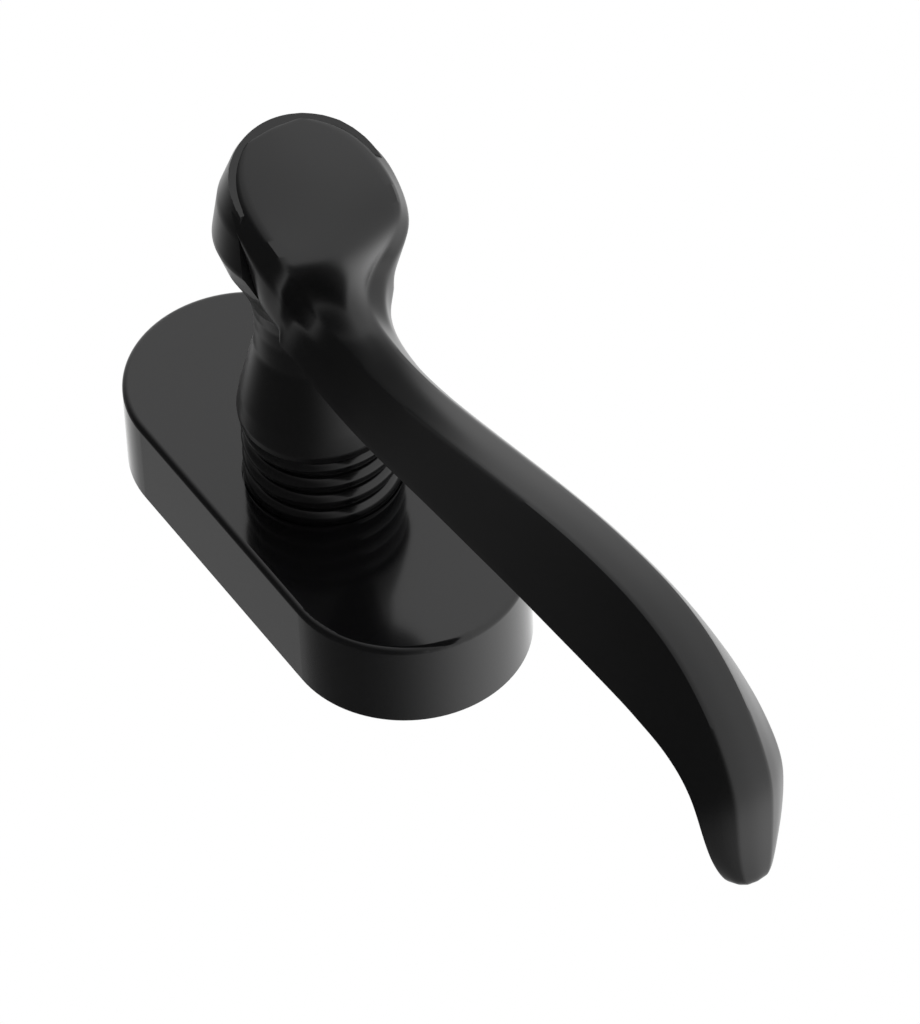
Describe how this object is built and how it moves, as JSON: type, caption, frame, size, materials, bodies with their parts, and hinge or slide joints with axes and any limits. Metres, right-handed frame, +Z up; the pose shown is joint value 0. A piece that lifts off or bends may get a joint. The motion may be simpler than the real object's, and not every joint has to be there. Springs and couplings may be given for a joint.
{
  "type": "tilt turn handle",
  "caption": "Window handle with a stadium rosette, ribbed guide collar and curved lever on a square spindle; turns between closed, turn and tilt.",
  "frame": {"origin": "centre of the rosette's mounting face, on the spindle axis", "axes": "+Z up the sash with the lever hanging along -Z when closed, -Y out into the room, +Y into the sash along the spindle, +X to the right seen from the room"},
  "size_m": [0.031, 0.0913, 0.1318],
  "materials": {
    "gloss_black_lacquer": "gloss black powder coat over zinc casting",
    "black_collar": "moulded black acetal, polished",
    "zinc_casting": "raw die-cast zinc",
    "zinc_plated_steel": "bright zinc-plated steel",
    "spring_steel": "blued spring steel",
    "white_acetal": "natural acetal"
  },
  "bodies": {
    "base": {"base_plate": "zinc_casting", "retaining_plate": "zinc_plated_steel", "plate_screws": "zinc_plated_steel", "ribbed_collar": "black_collar", "bearing_bush": "white_acetal", "spring_carrier": "white_acetal", "detent_spring_left": "spring_steel", "detent_spring_right": "spring_steel", "cover_clips": "spring_steel"},
    "cover": {"rosette_cover": "gloss_black_lacquer"},
    "lever": {"lever": "gloss_black_lacquer", "spindle": "zinc_plated_steel", "spindle_pin": "spring_steel", "glide_washer": "white_acetal", "thrust_washer": "zinc_plated_steel", "detent_cam": "zinc_casting", "disc_spring": "spring_steel", "circlip": "spring_steel"}
  },
  "joints": [
    {"name": "lever_turn", "type": "hinge", "parent": "base", "child": "lever", "pos_m": [0, 0, 0], "axis": [0, 1, 0], "range_deg": [0, 180], "deforming": ["detent_spring_left", "detent_spring_right"]},
    {"name": "cover_lift", "type": "slide", "parent": "base", "child": "cover", "axis": [0, -1, 0], "range_m": [0, 0.0108]}
  ]
}
